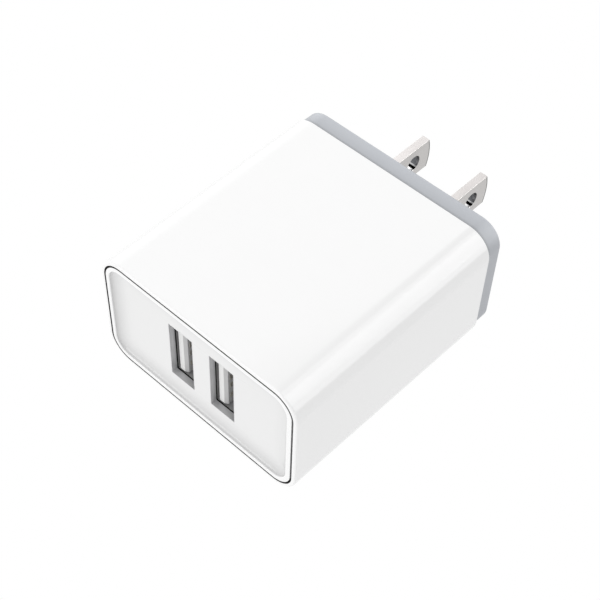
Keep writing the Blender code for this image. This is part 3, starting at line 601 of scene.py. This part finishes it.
def can_finish(name, sleeve, stripe, low, high, middle):
    """A printed shrink sleeve, a bare aluminium top with a scored vent, and tinned leads."""
    finish = Finish(name, 0.3)
    split = finish.node("ShaderNodeSeparateXYZ", {"Vector": finish.place})
    facing = finish.maths("SUBTRACT", split.outputs[0], middle[0])
    beside = finish.maths("ABSOLUTE", finish.maths("SUBTRACT", split.outputs[1], middle[1]))
    near_stripe = finish.span(beside, 1, 0, (1.1 * MM, 1.2 * MM))
    on_stripe = finish.maths("MULTIPLY", finish.maths("GREATER_THAN", facing, 0.0), near_stripe)
    top = finish.along(2, high - 0.10 * MM, high - 0.05 * MM)
    leads = finish.maths("SUBTRACT", 1.0, finish.along(2, low - 0.05 * MM, low))
    bare = finish.maths("MAXIMUM", top, leads)
    vent = finish.maths("MINIMUM", beside, finish.maths("ABSOLUTE", facing))
    sleeve_colour = finish.blend(on_stripe, sleeve, stripe)
    speckled = finish.blend(finish.noise(0.5 * MM), (0.70, 0.71, 0.72), (0.80, 0.80, 0.81))
    finish.set("Base Color", finish.blend(bare, sleeve_colour, speckled))
    finish.set("Metallic", bare)
    finish.set("Roughness", finish.span(finish.noise(0.8 * MM), 0.24, 0.38))
    finish.bump(finish.span(vent, 0, 1, (0.10 * MM, 0.18 * MM)), 60e-6)
    finish.bump(finish.noise(1.5 * MM), 4e-6)
    return finish.material


def epoxy_finish():
    """Moulded package epoxy."""
    finish = Finish("epoxy_black", 0.5)
    grains = finish.noise(0.06 * MM, 4)
    finish.set("Base Color", finish.blend(grains, (0.024, 0.024, 0.026), (0.050, 0.050, 0.052)))
    finish.set("Roughness", finish.span(grains, 0.42, 0.62))
    finish.bump(grains, 5e-6)
    return finish.material


def axial_finish(low):
    """A lacquered body with plain coloured rings, on tinned leads."""
    finish = Finish("axial_green", 0.32)
    rings = finish.bands(1.7 * MM, "Z")
    ring_mask = finish.span(rings, 0, 1, (0.86, 0.90))
    body = finish.blend(finish.noise(1 * MM), (0.17, 0.33, 0.21), (0.22, 0.40, 0.26))
    lead = finish.maths("SUBTRACT", 1.0, finish.along(2, low - 0.05 * MM, low))
    painted = finish.blend(ring_mask, body, (0.35, 0.13, 0.05))
    finish.set("Base Color", finish.blend(lead, painted, (0.72, 0.72, 0.71)))
    finish.set("Metallic", lead)
    finish.bump(finish.noise(0.5 * MM), 8e-6)
    return finish.material


def disc_finish(low):
    """A dipped coat, thicker in places, on tinned leads."""
    finish = Finish("disc_blue", 0.2)
    coat = finish.noise(1.2 * MM)
    lead = finish.maths("SUBTRACT", 1.0, finish.along(2, low - 0.05 * MM, low))
    body = finish.blend(coat, (0.035, 0.14, 0.44), (0.06, 0.21, 0.56))
    finish.set("Base Color", finish.blend(lead, body, (0.72, 0.72, 0.71)))
    finish.set("Metallic", lead)
    finish.bump(coat, 40e-6)
    return finish.material


def barrier_finish():
    """Pressed insulating paper with short fibres."""
    finish = Finish("barrier_white", 0.6)
    fibres = finish.noise(0.25 * MM, 4, (1, 1, 0.25))
    finish.set("Base Color", finish.blend(fibres, (0.74, 0.74, 0.69), (0.84, 0.84, 0.80)))
    finish.set("Roughness", finish.span(fibres, 0.5, 0.7))
    finish.bump(fibres, 10e-6)
    return finish.material


# ---------------------------------------------------------------- pieces


def build_sleeve():
    """The outer tube, its mouth stepped for the panel, both ends rounded over."""
    length = SLEEVE_LENGTH
    mouth = PANEL_DEPTH + CLEARANCE
    section = [(SLEEVE_WALL + DRAFT, length)]
    section += round_edge(REAR_ROUND, length - REAR_ROUND, REAR_ROUND, 90)
    section += round_edge(FRONT_ROUND, FRONT_ROUND, FRONT_ROUND, 180)
    section += round_edge(RIM_THICKNESS - RIM_ROUND, RIM_ROUND, RIM_ROUND, 270, 3)
    section += [(RIM_THICKNESS, mouth), (SLEEVE_WALL + draft_at(mouth), mouth)]
    skin = Skin()
    skin.walls([skin.body_ring(*point) for point in section], closed=True)
    skin.piece("sleeve_shell", sleeve_finish(), "sleeve_white", "housing_sleeve")


def build_panel():
    """A slab with a raised rim round a dished face, an opening for each port, and a skirt behind."""
    edge = RIM_THICKNESS + SEAM
    dish = edge + PANEL_RIM
    cove_drop = DISH_DEPTH - PANEL_INNER_ROUND
    face = []
    for step in range(COVE_STEPS):
        angle = pi / 2 * (1 - step / COVE_STEPS)
        face.append((dish + DISH_COVE * (1 - cos(angle)), PANEL_INNER_ROUND + cove_drop * sin(angle)))
    for angle in (radians(90 * step / ROUND_STEPS) for step in range(ROUND_STEPS + 1)):
        face.append((dish - PANEL_INNER_ROUND * (1 - cos(angle)), PANEL_INNER_ROUND * (1 - sin(angle))))
    section = round_edge(edge + PANEL_OUTER_ROUND, PANEL_OUTER_ROUND, PANEL_OUTER_ROUND, 180, 4)[::-1]
    skirt = SLEEVE_WALL + CLEARANCE
    section += [(edge, PANEL_DEPTH), (skirt, PANEL_DEPTH), (skirt + draft_at(PANEL_END), PANEL_END)]
    section += [(skirt + SKIRT_WALL, PANEL_END), (skirt + SKIRT_WALL, PANEL_DEPTH)]
    skin = Skin()
    rings = [skin.body_ring(*point, DISH_SHIFT) for point in face]
    rings += [skin.body_ring(*point) for point in section]
    skin.walls(rings)
    fronts, backs = [], []
    for side in SIDES:
        centre = port_centre(side)
        grown = LIP_THICKNESS + CLEARANCE / 2
        hole = []
        for outset, depth in ROUND_OVER:
            out = outset * OPENING_ROUND
            half = (OPENING[0] + grown + out, OPENING[1] + grown + out)
            level = DISH_DEPTH + depth * OPENING_ROUND
            hole.append(skin.port_ring(centre, half, OPENING_CORNER + out, level))
        half = (OPENING[0] + grown, OPENING[1] + grown)
        hole.append(skin.port_ring(centre, half, OPENING_CORNER, PANEL_DEPTH))
        skin.walls(hole)
        fronts.append(hole[0])
        backs.append(hole[-1])
    skin.face(rings[0], *fronts)
    skin.face(rings[-1], *backs)
    skin.piece("port_panel", panel_finish(), "panel_white", "front_panel")


def blade_box(side):
    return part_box(f"plug_blade_{side}")


def build_cap():
    """A cap set in from the sleeve, its spigot inside it and a close slot round each blade."""
    band_front = SLEEVE_LENGTH + CAP_SEAM
    section = round_edge(CAP_STEP + CAP_EDGE, WALL_FACE - CAP_EDGE, CAP_EDGE, 90, 5)
    section += round_edge(CAP_STEP + CAP_LIP, band_front + CAP_LIP, CAP_LIP, 180, 3)
    spigot = SLEEVE_WALL + CLEARANCE + DRAFT
    spigot_front = CAP_LOW.y - FRONT
    inner_face = WALL_FACE - CAP_FACE
    section += [(spigot, band_front), (spigot, spigot_front)]
    section += [(spigot + SPIGOT_WALL, spigot_front), (spigot + SPIGOT_WALL, inner_face)]
    skin = Skin()
    rings = [skin.body_ring(*point) for point in section]
    skin.walls(rings)
    outer_holes, inner_holes = [], []
    for side in SIDES:
        low, high = blade_box(side)
        centre = (low + high) / 2
        half = ((high.x - low.x) / 2 + CLEARANCE, (high.z - low.z) / 2 + CLEARANCE)
        hole = []
        for outset, depth in ROUND_OVER:
            out = outset * SLOT_ROUND
            grown = (half[0] + out, half[1] + out)
            hole.append(skin.port_ring(centre, grown, SLOT_CORNER + out, WALL_FACE - depth * SLOT_ROUND))
        hole.append(skin.port_ring(centre, half, SLOT_CORNER, inner_face))
        skin.walls(hole)
        outer_holes.append(hole[0])
        inner_holes.append(hole[-1])
    skin.face(rings[0], *outer_holes)
    skin.face(rings[-1], *inner_holes)
    skin.piece("cap_shell", cap_finish(), "cap_grey", "rear_cap")


def blade_rings(skin, middle, half, root, tip, across, shrink):
    """A blade's outline and its hole, this far across from its middle and drawn in by shrink."""
    radius = BLADE_ARC - shrink
    swing = asin((half - shrink) / radius)
    arc_centre = tip - BLADE_ARC
    shape = []
    for step in range(BLADE_ARC_STEPS + 1):
        angle = swing * (2 * step / BLADE_ARC_STEPS - 1)
        shape.append((arc_centre + radius * cos(angle), radius * sin(angle)))
    shape += [(root + shrink, half - shrink), (root + shrink, shrink - half)]
    outer = skin.ring((middle.x + across, y, middle.z + z) for y, z in shape)
    size = BLADE_HOLE + shrink * 0.8
    hole_y = tip - BLADE_HOLE_FROM_TIP
    turns = [2 * pi * step / BLADE_HOLE_STEPS for step in range(BLADE_HOLE_STEPS)]
    hole = [(middle.x + across, hole_y + size * cos(turn), middle.z + size * sin(turn)) for turn in turns]
    return outer, skin.ring(hole)


def build_blades():
    """Flat blades with softened edges, a shallow arc at the tip and a round hole near it."""
    low, high = blade_box("left")
    height = (low.z + high.z) / 2
    finish = blade_finish((high.y - BLADE_HOLE_FROM_TIP, height), (high.y - BLADE_ARC, height))
    for side in SIDES:
        low, high = blade_box(side)
        half_thick = (high.x - low.x) / 2
        levels = []
        for sign in (-1, 1):
            edge = []
            for angle in (0, 30, 60, 90):
                drop = BLADE_EDGE * (1 - cos(radians(angle)))
                shrink = BLADE_EDGE * (1 - sin(radians(angle)))
                edge.append((sign * (half_thick - drop), shrink))
            levels += edge if sign < 0 else edge[::-1]
        skin = Skin()
        shape = ((low + high) / 2, (high.z - low.z) / 2, low.y, high.y)
        made = [blade_rings(skin, *shape, *level) for level in levels]
        skin.walls([outer for outer, _ in made])
        skin.walls([hole for _, hole in made])
        skin.face(*made[0])
        skin.face(*made[-1])
        skin.piece(f"blade_{side}", finish, "blade_nickel", f"plug_blade_{side}", smooth_angle=50)


def port_centre(side):
    """The middle of a port's opening; the receptacle's top is level with its shell's."""
    low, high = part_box(f"usb_shell_{side}")
    return Vector(((low.x + high.x) / 2, 0, high.z - SHELL_OUTER[1]))


def build_port_shells():
    """Sheet-metal shells with a thin lip that lines the panel's opening, and a groove behind it."""
    finish = shell_finish()
    for side in SIDES:
        centre = port_centre(side)
        low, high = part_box(f"usb_shell_{side}")
        end = high.y - FRONT
        lip_front = DISH_DEPTH + 0.02 * MM
        flange = PANEL_DEPTH + CLEARANCE / 3
        lip_outer = (OPENING[0] + LIP_THICKNESS, OPENING[1] + LIP_THICKNESS)
        profile = [
            (OPENING, 0.10, lip_front),
            (OPENING, 0.10, LIP_END),
            (GROOVE, 0.30, LIP_END),
            (GROOVE, 0.30, GROOVE_END),
            (BORE, 0.20, GROOVE_END),
            (BORE, 0.20, end),
            (SHELL_OUTER, 0.50, end),
            (SHELL_OUTER, 0.50, flange),
            (lip_outer, 0.14, flange),
            (lip_outer, 0.14, lip_front),
        ]
        skin = Skin()
        rings = [skin.port_ring(centre, half, radius * MM, depth) for half, radius, depth in profile]
        skin.walls(rings, closed=True)
        tab_top = centre.z - SHELL_OUTER[1] + 0.02 * MM
        for tab_depth in TAB_DEPTHS:
            tab_low = Vector((centre.x - TAB_HALF[0], FRONT + tab_depth - TAB_HALF[1], low.z))
            tab_high = Vector((centre.x + TAB_HALF[0], FRONT + tab_depth + TAB_HALF[1], tab_top))
            add_box(skin.bm, tab_low, tab_high)
        skin.piece(f"port_shell_{side}", finish, "shell_steel", f"usb_shell_{side}")


def build_tongues():
    """Moulded tongues on their bases, bevelled at the front."""
    finish = tongue_finish()
    for side in SIDES:
        low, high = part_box(f"usb_tongue_{side}")
        centre = port_centre(side)
        left = centre.x - BORE[0] + TONGUE_GAP
        right = left + TONGUE_WIDTH
        base_front = high.y - BASE_THICKNESS
        across, deep = TONGUE_BEVEL
        shape = [
            (left, low.y),
            (right - across, low.y),
            (right, low.y + deep),
            (right, base_front),
            (left, base_front),
        ]
        bm = bmesh.new()
        add_prism(bm, shape, centre.z - TONGUE_HALF_HEIGHT, centre.z + TONGUE_HALF_HEIGHT, TONGUE_EDGE)
        base_half = (BORE[0] - CLEARANCE, BORE[1] - CLEARANCE)
        add_box(
            bm,
            Vector((centre.x - base_half[0], base_front, centre.z - base_half[1])),
            Vector((centre.x + base_half[0], high.y, centre.z + base_half[1])),
            TONGUE_EDGE,
        )
        name = f"port_tongue_{side}"
        add_piece(name, bm, finish, "tongue_white", f"usb_tongue_{side}", smooth_angle=15)


# ---------------------------------------------------------------- what stays from the frame


def finish_frame_nodes():
    """Materials for the CAD nodes that stay."""
    board_low, board_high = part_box("main_board")
    seat = board_high.z + 0.3 * MM

    def can(name, sleeve, stripe):
        low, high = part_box(name)
        middle = ((low.x + high.x) / 2, (low.y + high.y) / 2)
        return can_finish(name, sleeve, stripe, seat, high.z, middle)

    black = black_moulding_finish()
    spring = spring_finish()
    gold = contact_finish()
    ferrite = ferrite_finish()
    tape = tape_finish()
    epoxy = epoxy_finish()
    axial = axial_finish(seat)
    finishes = {
        "blade_retainer": black,
        "transformer_bobbin": black,
        "main_board": board_finish(board_low.z, board_high.z),
        "transformer_core_left": ferrite,
        "transformer_core_right": ferrite,
        "primary_winding": winding_finish(),
        "secondary_winding": tape,
        "core_tape": tape,
        "bridge_rectifier": epoxy,
        "controller_ic": epoxy,
        "output_diode": epoxy,
        "port_controller_ic": epoxy,
        "fusible_resistor": axial,
        "line_inductor": axial,
        "y_capacitor": disc_finish(seat),
        "insulation_barrier": barrier_finish(),
    }
    for place in ("front", "rear"):
        name = f"bulk_capacitor_{place}"
        finishes[name] = can(name, (0.035, 0.036, 0.045), (0.55, 0.55, 0.56))
    for side in SIDES:
        name = f"output_capacitor_{side}"
        finishes[name] = can(name, (0.02, 0.17, 0.14), (0.72, 0.66, 0.30))
        finishes[f"contact_spring_{side}"] = spring
        for number in range(1, 5):
            finishes[f"usb_contact_{side}_{number}"] = gold
    for name, finish in finishes.items():
        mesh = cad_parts[name].data
        mesh.materials.clear()
        mesh.materials.append(finish)


# ---------------------------------------------------------------- camera, floor and light


def add_camera():
    azimuth, elevation = CAMERA_AZIMUTH, CAMERA_ELEVATION
    back = Vector((sin(azimuth) * cos(elevation), -cos(azimuth) * cos(elevation), sin(elevation)))
    data = bpy.data.cameras.new("camera")
    data.lens = CAMERA_LENS
    data.sensor_width = 36
    data.clip_start = 0.01
    data.clip_end = 20
    camera = bpy.data.objects.new("camera", data)
    camera.rotation_mode = "QUATERNION"
    camera.location = CAMERA_AIM + back * CAMERA_DISTANCE
    level = (-back).to_track_quat("-Z", "Y")
    camera.rotation_quaternion = level @ Quaternion((0, 0, 1), CAMERA_ROLL)
    bpy.context.scene.collection.objects.link(camera)
    bpy.context.scene.camera = camera


def add_floor():
    """A plain white floor, lit from within so that it stays as bright as a light table."""
    bm = bmesh.new()
    bmesh.ops.create_grid(bm, x_segments=1, y_segments=1, size=3)
    mesh = bpy.data.meshes.new("floor")
    bm.to_mesh(mesh)
    bm.free()
    floor = bpy.data.objects.new("floor", mesh)
    floor.location.z = CAD_BOX[0].z - 0.02 * MM
    bpy.context.scene.collection.objects.link(floor)
    finish = Finish("floor_white", 0.9)
    finish.set("Base Color", (0, 0, 0, 1))
    finish.set("Specular IOR Level", 0.0)
    finish.set("Emission Color", (1, 1, 1, 1))
    finish.set("Emission Strength", 1.0)
    mesh.materials.append(finish.material)


def add_softbox(name, place, size, radiance, width_along=None):
    """A rectangular light facing the object, of this brightness whatever its size."""
    data = bpy.data.lights.new(name, "AREA")
    data.shape = "RECTANGLE"
    data.size, data.size_y = size
    data.energy = radiance * pi * size[0] * size[1]
    light = bpy.data.objects.new(name, data)
    light.location = place
    back = (Vector(place) - LIGHT_AIM).normalized()
    across = Vector(width_along) if width_along else Vector((-back.y, back.x, 0))
    across = (across - back * across.dot(back)).normalized() if across.length else Vector((1, 0, 0))
    turn = Matrix((across, back.cross(across), back)).transposed()
    light.rotation_mode = "QUATERNION"
    light.rotation_quaternion = turn.to_quaternion()
    bpy.context.scene.collection.objects.link(light)
    return light


def add_reflected_arc(name, start, end, radiance):
    """A softbox seen only in gloss, between two angles up from the +X horizon, behind the object."""
    middle = radians(start + end) / 2
    reach = ARC_DISTANCE * cos(ARC_BACK)
    place = (reach * cos(middle), ARC_DISTANCE * sin(ARC_BACK), reach * sin(middle) + LIGHT_AIM.z)
    width = 2 * reach * tan(radians(end - start) / 2)
    light = add_softbox(name, place, (width, ARC_DEPTH), radiance, (-sin(middle), 0, cos(middle)))
    light.visible_diffuse = False


def add_soft_fill(name, place, size, radiance):
    """A softbox that lights without showing in gloss."""
    light = add_softbox(name, place, size, radiance)
    light.visible_glossy = False


def add_lights():
    world = bpy.data.worlds.new("studio")
    world.use_nodes = True
    background = world.node_tree.nodes["Background"]
    background.inputs["Color"].default_value = (1, 1, 1, 1)
    background.inputs["Strength"].default_value = 0.61
    bpy.context.scene.world = world
    add_soft_fill("ceiling", (0, 0, 1.0), (2.4, 2.4), 0.45)
    add_soft_fill("left_fill", (-0.75, 0.10, 0.45), (0.7, 0.7), 0.90)
    add_softbox("front_fill", (-0.25, -0.80, 0.20), (0.5, 0.4), 2.6)
    add_reflected_arc("left_softbox", 115.5, 183, 1.3)
    add_reflected_arc("corner_strip_low", 0, 24, 2.6)
    add_reflected_arc("corner_strip", 24, 70, 3.3)
    add_reflected_arc("corner_strip_high", 70, 86, 1.7)
    view = bpy.context.scene.view_settings
    view.view_transform = "Standard"
    view.look = "None"


def main():
    add_camera()
    add_floor()
    add_lights()
    build_sleeve()
    build_panel()
    build_cap()
    build_blades()
    build_port_shells()
    build_tongues()
    finish_frame_nodes()


main()
